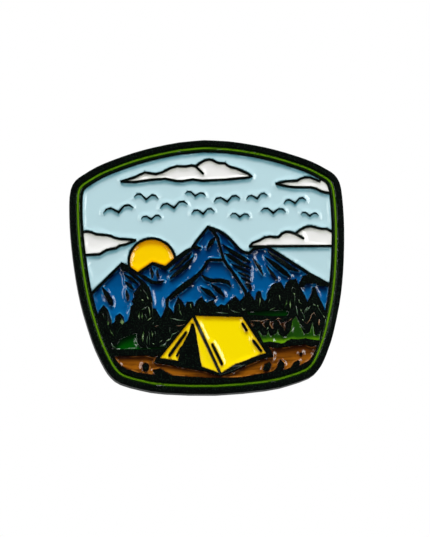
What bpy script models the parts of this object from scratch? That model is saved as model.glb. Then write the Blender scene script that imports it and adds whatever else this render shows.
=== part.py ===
"""A soft-enamel lapel pin: mountains, a tent and a setting sun, with two posts and butterfly clutches.

The pin stands upright with its picture facing -Y and +Z up. The origin is the middle of the plate's back,
and the posts point along +Y. Sizes are in metres; the picture is drawn in millimetres at its nominal size.
"""

import math

import bmesh
import bpy
from mathutils import Matrix, Vector

MM = 0.001

# The plate and its enamel
PIN_WIDTH = 38.1 * MM
PIN_HEIGHT = 35.85 * MM
PLATE_THICKNESS = 1.7 * MM
RIM_WIDTH = 0.80 * MM
CHANNEL_WIDTH = 0.70 * MM
FRAME_LINE = 0.28 * MM
RAISED_LINE = 0.30 * MM
POCKET_DEPTH = 0.50 * MM
ENAMEL_DIP = 0.12 * MM  # from the top of the raised metal down to the enamel
ENAMEL_GAP = 0.02 * MM  # all round each fill, and under it

# The posts and the solder that holds them
POST_SPACING = 19.0 * MM
POST_RISE = 2.0 * MM  # above the plate's middle
POST_RADIUS = 0.55 * MM
POST_LENGTH = 8.2 * MM
POST_POINT = 1.3 * MM
GROOVE_DEPTH = 0.10 * MM
SEAT_DEPTH = 0.25 * MM  # the shallow round seat in the back that a post stands in
SOLDER_RADIUS = 1.45 * MM
SOLDER_HEIGHT = 0.45 * MM  # above the plate's back
SEAT_CLEARANCE = 0.05 * MM

# The butterfly clutches
CLUTCH_STANDOFF = 2.50 * MM  # from the plate's back to the disc, where the cloth goes
DISC_RADIUS = 5.6 * MM
DISC_RIM_HEIGHT = 1.1 * MM
SHEET = 0.32 * MM
POST_CLEARANCE = 0.12 * MM
CLIP_CLEARANCE = 0.04 * MM
CLIP_WIDTH = 4.6 * MM
CLIP_BEND = 0.22 * MM
FOLD_REACH = 1.95 * MM  # from the post's axis to the fold that a wing turns on
FOLD_HEIGHT = 1.75 * MM  # above the disc's face
FOLD_CLEARANCE = 0.06 * MM
WING_LENGTH = 3.9 * MM
WING_WIDTH = 7.6 * MM
WING_LEAN = math.radians(62)
JAW_WIDTH = 2.2 * MM
JAW_SLOPE = math.radians(42)  # how steeply the jaw runs down to the post

# The picture's own drawing, before it is scaled to the pin
DRAWN_WIDTH = 39.0
DRAWN_HEIGHT = 36.17

BLACK_METAL = ((0.006, 0.008, 0.008), 0.22, 1.0)
PALE_BLUE = ((0.47, 0.69, 0.75), 0.12, 0.0)
WHITE = ((0.86, 0.85, 0.82), 0.12, 0.0)
SUN_YELLOW = ((1.0, 0.62, 0.0), 0.12, 0.0)
TENT_YELLOW = ((1.0, 0.75, 0.0), 0.12, 0.0)
MOUNTAIN_BLUE = ((0.0, 0.10, 0.33), 0.12, 0.0)
BROWN = ((0.26, 0.09, 0.004), 0.12, 0.0)
DARK_GREEN = ((0.0, 0.055, 0.004), 0.12, 0.0)
LEAF_GREEN = ((0.12, 0.30, 0.008), 0.12, 0.0)
BORDER_GREEN = ((0.07, 0.20, 0.006), 0.12, 0.0)
PINE_GREEN = ((0.16, 0.30, 0.13), 0.12, 0.0)
STEEL = ((0.55, 0.56, 0.58), 0.25, 1.0)
SOLDER = ((0.42, 0.43, 0.45), 0.40, 1.0)
BRASS = ((0.78, 0.56, 0.22), 0.25, 1.0)

for old in list(bpy.data.objects):
    bpy.data.objects.remove(old, do_unlink=True)

parts = bpy.data.collections.new("enamel_pin")
cutters = bpy.data.collections.new("cutters")
pockets = bpy.data.collections.new("pockets")
bpy.context.scene.collection.children.link(parts)
bpy.context.scene.collection.children.link(cutters)
cutters.children.link(pockets)


# ---------------------------------------------------------------- lines and loops


def smooth(points):
    """A flowing line through the points, with one more point between each two."""
    ends = [points[0], *points, points[-1]]
    line = []
    for a, b, c, d in zip(ends, ends[1:], ends[2:], ends[3:]):
        for t in (0, 0.5):
            weights = (
                (-t + 2 * t**2 - t**3) / 2,
                (2 - 5 * t**2 + 3 * t**3) / 2,
                (t + 4 * t**2 - 3 * t**3) / 2,
                (t**3 - t**2) / 2,
            )
            line.append(tuple(sum(w * p[k] for w, p in zip(weights, (a, b, c, d))) for k in (0, 1)))
    return [*line, points[-1]]


def scaled(points):
    """Drawing points as metres on the face, without the doubles where two lines join."""
    loop = []
    for x, z in points:
        here = Vector((x * PIN_WIDTH / DRAWN_WIDTH, z * PIN_HEIGHT / DRAWN_HEIGHT))
        if not loop or (here - loop[-1]).length > 0.02 * MM:
            loop.append(here)
    if (loop[0] - loop[-1]).length <= 0.02 * MM:
        loop.pop()
    area = sum(a.cross(b) for a, b in zip(loop, loop[1:] + loop[:1]))
    return loop if area > 0 else loop[::-1]


def offset(loop, distance):
    """The loop grown by distance, or shrunk where it is negative. Very sharp corners are cut square."""
    grown = []
    for before, here, after in zip(loop[-1:] + loop[:-1], loop, loop[1:] + loop[:1]):
        first = Vector((here.y - before.y, before.x - here.x)).normalized()
        second = Vector((after.y - here.y, here.x - after.x)).normalized()
        middle = first + second
        if first.cross(second) * distance > 0 and middle.length < 1.0:
            grown.append(here + first * distance)
            grown.append(here + second * distance)
        else:
            grown.append(here + middle * (2 * distance / max(middle.length_squared, 0.02)))
    return grown


def stroke(points, width):
    """A brush stroke: pointed at both ends and as wide as width between them."""
    left = []
    right = []
    for before, here, after in zip(points, points[1:], points[2:]):
        along = Vector((after[0] - before[0], after[1] - before[1])).normalized()
        side = Vector((-along.y, along.x)) * width / 2
        left.append((here[0] + side.x, here[1] + side.y))
        right.append((here[0] - side.x, here[1] - side.y))
    return [points[0], *left, points[-1], *reversed(right)]


def bar(start, end, width):
    """A short straight line with blunt ends."""
    along = Vector((end[0] - start[0], end[1] - start[1])).normalized()
    tip = along * width / 2
    side = Vector((-along.y, along.x)) * width / 2
    nick = side * 0.45
    ends = [Vector(start), Vector(end)]
    loop = [ends[0] + side, ends[0] - tip + nick, ends[0] - tip - nick, ends[0] - side]
    loop += [ends[1] - side, ends[1] + tip - nick, ends[1] + tip + nick, ends[1] + side]
    return [tuple(point) for point in loop]


def circle(centre, radius, count):
    angles = [math.tau * step / count for step in range(count)]
    return [(centre[0] + radius * math.cos(a), centre[1] + radius * math.sin(a)) for a in angles]


# ---------------------------------------------------------------- solids


def finish(piece, look):
    colour, roughness, metallic = look
    material = bpy.data.materials.new(piece.name)
    material.use_nodes = True
    shader = material.node_tree.nodes["Principled BSDF"]
    shader.inputs["Base Color"].default_value = (*colour, 1)
    shader.inputs["Roughness"].default_value = roughness
    shader.inputs["Metallic"].default_value = metallic
    material.diffuse_color = (*colour, 1)
    piece.data.materials.clear()
    piece.data.materials.append(material)


def add_object(name, mesh, collection):
    piece = bpy.data.objects.new(name, mesh)
    collection.objects.link(piece)
    if collection is not parts:
        piece.hide_render = True
        piece.display_type = "WIRE"
    return piece


def slab_mesh(name, loops, front, back):
    """One mesh with a straight-sided slab for each loop, from front to back along Y."""
    joined = bmesh.new()
    for loop in loops:
        outline = bpy.data.curves.new(name, "CURVE")
        outline.dimensions = "2D"
        outline.fill_mode = "BOTH"
        outline.extrude = (back - front) / 2
        spline = outline.splines.new("POLY")
        spline.points.add(len(loop) - 1)
        for point, place in zip(spline.points, loop):
            point.co = (place.x, place.y, 0, 1)
        spline.use_cyclic_u = True
        guide = bpy.data.objects.new(name, outline)
        joined.from_mesh(bpy.data.meshes.new_from_object(guide))
        bpy.data.objects.remove(guide)
    bmesh.ops.remove_doubles(joined, verts=joined.verts, dist=0.0005 * MM)
    bmesh.ops.recalc_face_normals(joined, faces=joined.faces)
    upright = Matrix.Translation((0, (front + back) / 2, 0)) @ Matrix.Rotation(math.pi / 2, 4, "X")
    joined.transform(upright)
    mesh = bpy.data.meshes.new(name)
    joined.to_mesh(mesh)
    joined.free()
    return mesh


def slab(name, loops, front, back, collection):
    return add_object(name, slab_mesh(name, loops, front, back), collection)


def boolean(piece, operation, other, overlapping=False):
    """Cuts piece by another object or by every object of a collection."""
    cut = piece.modifiers.new(operation.lower(), "BOOLEAN")
    cut.operation = operation
    cut.solver = "EXACT"
    cut.use_self = overlapping
    if isinstance(other, bpy.types.Collection):
        cut.operand_type = "COLLECTION"
        cut.collection = other
    else:
        cut.object = other


def turned(name, profile, steps, collection):
    """A solid turned about Y from (radius, y) points that make a ring or run from axis to axis."""
    outline = bpy.data.meshes.new(name)
    points = bmesh.new()
    verts = [points.verts.new((radius, 0, height)) for radius, height in profile]
    for first, second in zip(verts, verts[1:]):
        points.edges.new((first, second))
    if profile[0][0] > 0:
        points.edges.new((verts[-1], verts[0]))
    points.to_mesh(outline)
    points.free()
    piece = add_object(name, outline, collection)
    screw = piece.modifiers.new("turn", "SCREW")
    screw.steps = steps
    screw.render_steps = steps
    screw.use_merge_vertices = True
    screw.merge_threshold = 0.0005 * MM
    screw.use_smooth_shade = True
    piece.rotation_euler = (-math.pi / 2, 0, 0)
    return piece


# ---------------------------------------------------------------- the pin's outline

HALF_OUTLINE = [
    (0, 18.15), (3.53, 17.9), (7.15, 17.27), (10.18, 16.52), (13.2, 15.53), (15.42, 14.64), (17.35, 13.55),
    (18.5, 12.72), (19.2, 11.5), (19.45, 9.62), (19.5, 6.3), (19.37, 3.3), (19.1, 0.2), (18.7, -2.9),
    (18.1, -6.0), (17.0, -10.0), (16.25, -12.0), (15.4, -13.85), (14.55, -15.1), (13.25, -16.1),
    (10.4, -17.0), (7.1, -17.62), (0, -18.02),
]
OUTLINE = scaled(smooth([*HALF_OUTLINE, *[(-x, z) for x, z in HALF_OUTLINE[-2:0:-1]], HALF_OUTLINE[0]]))
FACE = -PLATE_THICKNESS
FLOOR = FACE + POCKET_DEPTH
ENAMEL_FACE = FACE + ENAMEL_DIP
OVERCUT = 0.4 * MM  # how far a cutter runs past what it cuts
WINDOW = offset(OUTLINE, -(RIM_WIDTH + CHANNEL_WIDTH + FRAME_LINE))


def window_cutter(name, shrink):
    return slab(name, [offset(WINDOW, -shrink)], FACE - 3 * OVERCUT, 3 * OVERCUT, cutters)


POCKET_WINDOW = window_cutter("pocket_window", 0)
FILL_WINDOW = window_cutter("fill_window", ENAMEL_GAP)


def cell(name, loop, look, line=RAISED_LINE, framed=False, islands=()):
    """A pocket in the plate and the enamel fill in it.

    The loop runs along the middle of the raised line round the cell. Islands are raised metal inside it,
    as loops already in metres. A framed cell ends at the border's frame line.
    """
    half = line / 2
    levels = (
        (name + "_pocket", half, 0, FACE - OVERCUT, FLOOR, pockets, POCKET_WINDOW),
        (name, half + ENAMEL_GAP, ENAMEL_GAP, ENAMEL_FACE, FLOOR - ENAMEL_GAP, parts, FILL_WINDOW),
    )
    for title, shrink, grow, front, back, collection, window in levels:
        piece = slab(title, [offset(loop, -shrink)], front, back, collection)
        if framed:
            boolean(piece, "INTERSECT", window)
        if islands:
            raised = [offset(island, grow) if grow else island for island in islands]
            metal = slab(title + "_islands", raised, front - OVERCUT, back + OVERCUT, cutters)
            boolean(piece, "DIFFERENCE", metal, overlapping=True)
    finish(bpy.data.objects[name], look)


# ---------------------------------------------------------------- the sky, the clouds and the sun

HIGH_CLOUD = [
    (-12.1, 12.42), (-10.1, 12.98), (-9.4, 13.32), (-8.6, 13.65), (-7.8, 13.5), (-7.05, 13.35),
    (-6.05, 13.65), (-5.05, 14.15), (-4.0, 14.45), (-2.8, 14.35), (-2.0, 14.5), (-1.3, 14.35),
    (-0.75, 14.8), (0.05, 15.2), (0.65, 15.3), (1.1, 15.22), (1.55, 14.92), (2.05, 14.75), (2.85, 14.7),
    (3.2, 14.4), (3.7, 14.1), (4.6, 13.85), (5.4, 13.45), (6.1, 13.1), (6.5, 12.72), (6.1, 12.55),
    (3.05, 12.35), (-0.5, 12.25), (-1.8, 12.48), (-3.3, 12.27), (-4.25, 12.32), (-5.75, 12.68),
    (-8.1, 12.55), (-10.1, 12.3),
]
CORNER_CLOUD = [
    (10.0, 11.55), (11.5, 11.88), (13.07, 11.91), (13.58, 12.2), (14.2, 12.38), (15.0, 12.34),
    (15.7, 12.05), (16.25, 11.8), (17.1, 12.6), (19, 12), (19, 10), (17.6, 10.04), (17.1, 10.09),
    (16.4, 10.33), (15.8, 10.68), (14.98, 10.92), (12.65, 11.0), (11.65, 11.14),
]
LEFT_CLOUD = [
    (-19, 5.4), (-17.08, 5.4), (-16.48, 5.26), (-15.87, 4.97), (-14.46, 4.83), (-13.85, 4.7),
    (-13.25, 4.4), (-12.44, 4.2), (-10.3, 4.0), (-11.84, 3.4), (-12.55, 3.3), (-13.17, 2.93),
    (-14.5, 2.7), (-15.1, 2.34), (-15.5, 2.12), (-19, 2.05),
]
CLOUD_BASE = [(17.6, 2.42), (8.2, 2.6)]
RIGHT_CLOUD = [
    (5.75, 2.62), (6.25, 3.15), (7.2, 3.48), (8.0, 3.9), (8.72, 4.0), (9.43, 3.87), (9.95, 3.87),
    (10.45, 4.34), (11.06, 4.6), (11.67, 4.55), (12.4, 4.28), (13.1, 4.83), (13.9, 5.2), (14.6, 5.3),
    (15.3, 5.15), (16.12, 4.9), (16.93, 4.87), (17.63, 4.47), (19, 4.4), (19, 2.4), *CLOUD_BASE,
]
SUN_CENTRE = (-8.15, 0.85)
SUN_RADIUS = 3.32
SUN_FACETS = 40
LEFT_RIDGE = [
    (-18.2, -4.65), (-12.45, 0.72), (-11.7, 0.3), (-10.25, -0.75), (-8.1, 0.65), (-6.3, 0.0), (-4.6, 1.4),
    (-3.35, 2.25), (-2.5, 2.55), (-2.0, 3.3), (-0.05, 5.6),
]
RIGHT_RIDGE = [
    (-0.05, 5.6), (0.8, 5.33), (1.55, 5.0), (2.45, 4.4), (3.15, 3.7), (3.95, 2.7), (4.55, 2.1), (5.15, 1.8),
    (5.65, 1.7), (6.4, 2.35), CLOUD_BASE[-1],
]
FAR_RIDGE = [CLOUD_BASE[-1], (11.85, 0.1), (13.85, -1.3), (18.2, -3.95)]
GROUND_BELOW = [(21, -4), (21, -19), (-21, -19), (-21, -4.65)]


def bird(x, z, span, tilt, lift):
    """A gull in flight, as one raised stroke: two bowed wings that meet in a short body."""
    wing = [(-0.50, 0.02), (-0.38, 0.15), (-0.22, 0.16), (0.0, 0.0)]
    top = [(a, b * lift) for a, b in wing]
    top += [(-a, b * lift) for a, b in reversed(wing[:-1])]
    low = [(-a * 0.93, b * lift - 0.015 - 0.052 * math.cos(a * math.pi)) for a, b in wing[1:-1]]
    low = [*low, (0, -0.08), *[(-a, b) for a, b in reversed(low)]]
    turn = Matrix.Rotation(tilt, 2)
    outline = [turn @ (Vector(point) * span) for point in [*top, *low]]
    return [(x + point.x, z + point.y) for point in outline]


FLOCK = [
    (-12.6, 8.2, 4.4, 0.16, 1.0), (-8.6, 9.9, 3.5, -0.10, 1.15), (-8.0, 7.0, 2.9, 0.05, 1.0),
    (-4.7, 8.6, 4.0, 0.12, 1.1), (-1.6, 10.2, 3.0, -0.14, 1.0), (-0.6, 7.6, 3.3, 0.08, 1.15),
    (2.9, 9.3, 3.8, 0.10, 1.05), (4.6, 7.0, 2.8, -0.08, 1.0), (7.2, 9.6, 3.1, 0.16, 1.1),
    (9.4, 7.5, 3.6, -0.06, 1.0), (12.6, 8.8, 3.3, 0.12, 1.1), (14.6, 6.9, 2.6, -0.10, 1.0),
]


def make_sky():
    half = RAISED_LINE / 2
    clouds = [offset(scaled(cloud), half) for cloud in (HIGH_CLOUD, CORNER_CLOUD, LEFT_CLOUD, RIGHT_CLOUD)]
    sun = offset(scaled(circle(SUN_CENTRE, SUN_RADIUS, SUN_FACETS)), half)
    land = offset(scaled([*LEFT_RIDGE, *RIGHT_RIDGE, (21, CLOUD_BASE[0][1]), *GROUND_BELOW]), half)
    flock = [scaled(bird(*place)) for place in FLOCK]
    sheet = scaled([(-21, -5), (21, -5), (21, 19), (-21, 19)])
    cell("sky_enamel", sheet, PALE_BLUE, framed=True, islands=[*clouds, sun, land, *flock])
    lower = scaled([*FAR_RIDGE, (21, -4), (21, CLOUD_BASE[0][1]), CLOUD_BASE[0]])
    cell("low_sky_enamel", lower, PALE_BLUE, framed=True)


def make_clouds_and_sun():
    high_fold = scaled(bar((-1.3, 14.3), (-0.35, 13.3), RAISED_LINE / MM))
    right_fold = scaled(bar((12.45, 4.25), (13.5, 3.62), RAISED_LINE / MM))
    cell("high_cloud_enamel", scaled(HIGH_CLOUD), WHITE, islands=[high_fold])
    cell("corner_cloud_enamel", scaled(CORNER_CLOUD), WHITE, framed=True)
    cell("left_cloud_enamel", scaled(LEFT_CLOUD), WHITE, framed=True)
    cell("right_cloud_enamel", scaled(RIGHT_CLOUD), WHITE, framed=True, islands=[right_fold])
    land = offset(scaled([*LEFT_RIDGE, *RIGHT_RIDGE, *GROUND_BELOW]), RAISED_LINE / 2)
    cell("sun_enamel", scaled(circle(SUN_CENTRE, SUN_RADIUS, SUN_FACETS)), SUN_YELLOW, islands=[land])


# ---------------------------------------------------------------- the mountains

SUMMIT_SPINE = [(-0.05, 5.6), (0.6, 5.05), (0.95, 4.5), (1.3, 3.95), (1.5, 2.95), (1.8, 1.6), (2.0, 0.9)]
LOWER_SPINE = [(2.0, 0.9), (2.4, 0.15), (2.9, -0.55), (3.5, -1.45), (4.2, -2.65), (4.8, -3.65), (4.95, -4.4)]
STRIPE_LINE = [(-11.75, -0.2), (-9.85, -1.85)]
FOOT_ARC = [
    (2.0, 0.9), (1.3, 0.85), (0.1, 0.95), (-0.4, 0.65), (-0.7, 0.05), (-1.15, -0.55), (-1.65, -1.05),
    (-2.7, -1.8), (-3.7, -2.4), (-4.75, -3.2), (-5.6, -3.95), (-6.3, -4.6), (-6.35, -5.7),
]


def strokes(*lines):
    return [scaled(stroke(points, width)) for points, width in lines]


def make_left_peak():
    loop = [
        *LEFT_RIDGE[:2], (-12.35, -0.1), *STRIPE_LINE, (-9.7, -2.35), (-10.35, -3.1),
        (-10.75, -3.55), (-10.6, -4.1), (-11.05, -4.65), (-10.8, -5.1), (-11.25, -5.5), (-11.45, -6.5),
        (-11.7, -7.35), (-12.5, -8.1), (-12.75, -6.9), (-13.05, -6.55), (-13.4, -6.8), (-13.65, -7.65),
        (-14.4, -8.15), (-14.55, -6.8), (-14.85, -5.85), (-15.25, -5.4), (-15.65, -5.9), (-16.1, -6.8),
        (-16.5, -5.7), (-18.2, -5.2),
    ]
    crevasses = strokes(
        ([(-15.3, -2.6), (-14.75, -3.6), (-14.2, -4.6), (-13.95, -5.15)], 0.6),
        ([(-12.15, -0.85), (-11.1, -1.58), (-10.2, -2.35)], 0.38),
        ([(-12.1, -1.85), (-11.35, -2.5), (-10.85, -3.05)], 0.35),
        ([(-11.95, -3.1), (-11.8, -3.9), (-11.85, -4.5)], 0.4),
    )
    cell("left_peak_enamel", scaled(loop), MOUNTAIN_BLUE, framed=True, islands=crevasses)


def make_main_face():
    forest = [(-6.85, -6.8), (-7.3, -7.5), (-8.05, -6.1), (-8.75, -5.75), (-8.5, -4.8), (-8.75, -3.4),
              (-8.95, -2.8), (-9.4, -2.3)]
    shaded_slope = [(-6.3, -0.2), (-4.55, 1.1), (-3.3, 1.95)]
    ridge = [*LEFT_RIDGE[2:5], *shaded_slope, *LEFT_RIDGE[8:]]
    loop = [*ridge, *SUMMIT_SPINE[1:], *FOOT_ARC[1:], *forest, *STRIPE_LINE[::-1]]
    crevasses = strokes(
        ([(-10.35, -0.7), (-9.2, -1.4), (-8.3, -2.05), (-7.2, -2.1), (-6.6, -1.85)], 0.36),
        ([(-8.4, 0.05), (-8.2, -0.8), (-8.25, -1.5)], 0.36),
        ([(-7.5, -0.3), (-7.45, -1.0), (-7.4, -1.7)], 0.3),
        ([(-5.75, -0.6), (-4.5, 0.2), (-3.0, 1.45), (-2.5, 2.0)], 0.34),
        ([(-5.75, -1.6), (-4.6, -0.78), (-3.3, 0.2), (-2.2, 1.5)], 0.46),
        ([(-3.1, 2.75), (-1.9, 2.72), (-1.1, 2.65)], 0.5),
        ([(1.0, 4.2), (0.3, 3.3), (-0.35, 2.45)], 0.6),
    )
    cell("main_face_enamel", scaled(loop), MOUNTAIN_BLUE, islands=crevasses)


def make_foothill():
    forest = [
        (3.95, -5.35), (3.3, -4.6), (1.85, -5.85), (1.35, -5.65), (0.75, -6.1), (0.25, -5.5), (0.1, -5.05),
        (-0.7, -5.4), (-1.15, -5.1), (-1.45, -4.6), (-2.0, -5.0), (-2.5, -6.2), (-2.85, -5.15),
        (-3.35, -5.15), (-3.75, -6.1), (-4.25, -5.15), (-4.65, -4.65), (-5.1, -5.6), (-5.35, -7.0),
        (-5.95, -6.1),
    ]
    loop = [*LOWER_SPINE, *forest, *FOOT_ARC[:0:-1]]
    crevasses = strokes(
        ([(-1.35, -1.1), (-0.6, -1.75), (0.1, -2.03), (1.4, -2.05), (2.45, -2.35), (2.85, -2.95)], 0.42),
        ([(-1.5, -2.9), (-0.4, -3.65), (0.65, -4.6)], 0.62),
        ([(0.05, -2.6), (1.05, -3.45), (1.9, -4.4)], 0.55),
        ([(-5.85, -4.6), (-4.55, -3.4), (-3.0, -2.35), (-1.75, -1.4)], 0.5),
    )
    cell("foothill_enamel", scaled(loop), MOUNTAIN_BLUE, islands=crevasses)


def make_right_slope():
    forest = [
        (14.3, -1.7), (13.2, -1.95), (12.9, -2.6), (12.4, -3.35), (12.0, -2.35), (11.3, -2.45),
        (10.85, -2.85), (10.4, -4.0), (9.85, -2.8), (9.25, -2.8), (8.75, -3.05), (8.45, -3.65),
        (8.05, -4.2), (8.0, -4.95), (7.5, -5.45), (6.95, -4.75), (6.8, -3.85), (6.55, -4.1),
        (6.2, -5.45), (5.55, -4.6), (5.25, -4.05),
    ]
    loop = [*RIGHT_RIDGE[1:], *FAR_RIDGE[1:3], *forest, *LOWER_SPINE[::-1], *SUMMIT_SPINE[-2:1:-1]]
    crevasses = strokes(
        ([(1.95, 3.0), (3.1, 2.05), (4.9, 0.85), (5.8, 0.4)], 0.45),
        ([(2.25, 1.7), (2.85, 1.35), (4.5, 0.15), (5.8, -0.45)], 0.42),
        ([(3.1, 0.2), (4.1, -0.35), (5.7, -1.05)], 0.34),
        ([(3.95, -1.0), (4.8, -1.35), (5.65, -1.72)], 0.3),
        ([(4.3, -1.75), (5.0, -2.05), (5.65, -2.38)], 0.3),
        ([(4.9, -2.55), (5.45, -3.05), (5.8, -3.4)], 0.5),
        ([(8.3, 1.95), (9.6, 0.9), (11.35, -0.55), (12.6, -1.1)], 0.55),
        ([(7.9, 1.1), (9.2, -0.05), (10.6, -1.25), (11.4, -1.95)], 0.55),
        ([(8.05, -0.2), (8.7, -1.2), (9.5, -2.2)], 0.32),
        ([(6.2, 0.9), (6.95, -0.3), (7.5, -1.5)], 0.36),
    )
    cell("right_slope_enamel", scaled(loop), MOUNTAIN_BLUE, islands=crevasses)


def make_spur():
    loop = [
        (12.3, -3.3), (13.1, -3.05), (13.5, -2.7), (14.9, -2.65), (15.5, -3.1), (16.3, -3.15), (18.3, -3.3),
        (18.3, -5), (16.6, -5.9), (16.05, -7.4), (15.5, -5.9), (14.95, -4.7), (14.6, -3.5), (14.3, -4.5),
        (14.0, -5.1), (13.5, -5.85), (13.05, -4.6),
    ]
    cell("spur_enamel", scaled(loop), MOUNTAIN_BLUE, framed=True)


# ---------------------------------------------------------------- the tent, the ground and the greenery

TENT_PEAK = (-2.7, -6.75)
TENT_CORNER = (0.78, -15.35)


def make_tent():
    roof = [TENT_PEAK, (4.3, -7.15), (7.55, -12.6), (5.3, -13.25), (4.5, -13.6), (3.1, -14.0), TENT_CORNER]
    seams = [
        scaled(bar((4.2, -8.3), (4.7, -9.2), 0.34)),
        scaled(bar((5.6, -10.75), (6.6, -12.15), 0.34)),
        scaled(bar((-0.2, -11.1), (1.0, -13.85), 0.34)),
    ]
    cell("tent_roof_enamel", scaled(roof), TENT_YELLOW, islands=seams)
    front = [
        (-2.76, -6.85), TENT_CORNER, (-1.95, -14.3), (-2.15, -13.4), (-2.4, -11.2), (-2.65, -9.1),
        (-2.86, -8.1), (-3.2, -9.15), (-4.5, -11.45), (-5.05, -13.4), (-8.0, -12.85),
    ]
    folds = [
        scaled(bar((-3.85, -9.3), (-6.3, -12.4), 0.36)),
        scaled(bar((-4.65, -11.4), (-5.25, -12.5), 0.26)),
    ]
    cell("tent_front_enamel", scaled(front), TENT_YELLOW, islands=folds)


def make_ground():
    top = [
        (-14.4, -12.05), (-12.45, -12.1), (-9.4, -12.1), (-8.6, -12.35), (-7.2, -11.85), (-7.9, -12.7),
        (-8.2, -13.2), (-7.35, -13.35), (-5.35, -13.75), (-3.35, -14.2), (-1.3, -14.6), (0.6, -15.3),
        (2.2, -14.95), (3.3, -14.4), (4.8, -13.75), (6.35, -13.2), (7.45, -12.95), (8.05, -12.9),
        (7.75, -12.1), (7.0, -11.2), (8.85, -11.65), (11.0, -11.4), (12.9, -11.25), (13.8, -11.6),
        (14.85, -11.25),
    ]
    bottom = [
        (14.5, -12.3), (14.1, -13.15), (13.5, -13.85), (12.6, -14.35), (11.4, -14.95), (11.85, -13.85),
        (11.35, -14.05), (10.8, -14.8), (10.0, -15.1), (8.4, -15.35), (9.35, -14.75), (9.6, -14.2),
        (9.3, -13.8), (9.05, -14.2), (8.9, -14.7), (8.3, -15.25), (7.5, -15.45), (5.5, -15.7), (4, -15.95),
        (2, -16.0), (0, -15.9), (-2, -15.8), (-4, -15.65), (-6.2, -15.4), (-7.2, -14.8), (-7.8, -14.4),
        (-8.45, -14.5), (-8.0, -15.4), (-9.9, -15.05), (-11.0, -14.85), (-12.5, -14.3), (-13.4, -13.7),
        (-14.0, -12.9),
    ]
    holes = [
        scaled([(-9.7 + 0.42 * a, -13.95 + 0.55 * b) for a, b in circle((0, 0), 1, 12)]),
        scaled([(6.75, -14.75), (7.1, -14.1), (7.65, -13.85), (7.9, -14.15), (7.6, -14.85), (7.2, -15.0)]),
        scaled([(12.0, -12.75), (12.2, -12.85), (12.4, -12.75), (12.2, -12.65)]),
    ]
    cell("ground_enamel", scaled([*top, *bottom]), BROWN, islands=holes)


def make_greenery():
    meadow = [
        (-14.3, -10.75), (-13.75, -10.45), (-13.35, -9.75), (-12.4, -9.35), (-11.4, -9.05), (-10.5, -8.8),
        (-10.45, -10.6), (-10.0, -11.0), (-7.8, -11.0), (-6.9, -10.75), (-6.3, -10.9), (-6.4, -11.45),
        (-7.4, -11.6), (-9.4, -11.75), (-10.9, -11.6), (-12.9, -11.55), (-14.2, -11.65), (-14.6, -11.2),
    ]
    cell("meadow_enamel", scaled(meadow), DARK_GREEN)
    far = [
        (4.4, -6.3), (6.3, -6.4), (8.4, -6.3), (10.5, -6.2), (11.1, -6.6), (10.8, -7.5), (9.9, -7.55),
        (7.9, -7.5), (6.1, -7.3), (4.95, -7.25),
    ]
    cell("far_meadow_enamel", scaled(far), DARK_GREEN)
    bushes = [
        (6.85, -11.2), (8, -11.1), (9.2, -11.4), (9.9, -11.45), (10.4, -11.1), (11, -10.8), (12, -10.92),
        (13, -10.78), (14.2, -11.05), (15.1, -11.15), (15.25, -10.3), (15.55, -9.5), (15.7, -8.4),
        (15.25, -9.3), (14.85, -9.85), (14.5, -9.95),
        (14.45, -9.1), (14.15, -7.6), (13.8, -8.6), (13.5, -9.6), (12.95, -9.75), (12.6, -9.0),
        (12.3, -8.0), (11.9, -7.1), (11.1, -7.8), (10.95, -8.8), (10.6, -9.6), (9.9, -10.1), (9.45, -9.8),
        (9.2, -8.4), (8.75, -9.6), (8.2, -9.9), (7.75, -8.8), (7.4, -9.8), (7.0, -9.8), (6.5, -8.9),
        (6.05, -9.4),
    ]
    cell("bushes_enamel", scaled(bushes), LEAF_GREEN)


def make_brush():
    """The four small brown cells of the undergrowth, drawn at their enamel edges."""
    shapes = [
        [(5.2, -8.0), (5.75, -8.15), (5.7, -8.9), (5.4, -8.75)],
        [(6.4, -8.05), (7.2, -7.9), (7.9, -7.65), (7.6, -8.05), (7.35, -8.3), (7.35, -8.6), (6.95, -8.5)],
        [(8.0, -8.05), (8.65, -7.95), (8.6, -8.5), (8.45, -9.2), (8.2, -9.1), (8.0, -8.6)],
        [(9.0, -7.85), (9.3, -7.75), (9.6, -8.25), (10.8, -7.95), (10.35, -8.5), (10.25, -9.35),
         (9.85, -8.9), (9.5, -8.6)],
    ]
    for number, shape in enumerate(shapes, 1):
        cell(f"brush_{number}_enamel", scaled(shape), BROWN, line=0)


def make_pines():
    """Glimpses of green between the black pines, drawn at their enamel edges."""
    glimpses = [
        ([(-10.2, -6.05), (-10.38, -6.8), (-10.2, -7.4)], 0.32),
        ([(-9.88, -6.0), (-9.88, -6.8), (-9.92, -7.3)], 0.28),
        ([(-9.7, -8.65), (-9.93, -9.6), (-9.98, -10.6)], 0.34),
        ([(-8.72, -8.75), (-8.55, -9.35), (-8.6, -9.85)], 0.3),
        ([(-14.8, -7.05), (-14.66, -7.6), (-14.75, -8.1)], 0.34),
        ([(-14.55, -8.3), (-14.25, -9.0), (-13.95, -9.6)], 0.26),
        ([(-12.72, -6.9), (-12.75, -7.55), (-12.7, -8.0)], 0.7),
        ([(10.68, -4.85), (10.58, -5.6), (10.15, -6.25)], 0.26),
        ([(11.1, -4.95), (11.1, -5.75), (11.08, -6.5)], 0.32),
        ([(12.55, -6.25), (12.6, -6.6), (12.68, -6.95)], 0.28),
    ]
    for number, (points, width) in enumerate(glimpses, 1):
        cell(f"pine_{number}_enamel", scaled(stroke(points, width)), PINE_GREEN, line=0)


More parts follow.
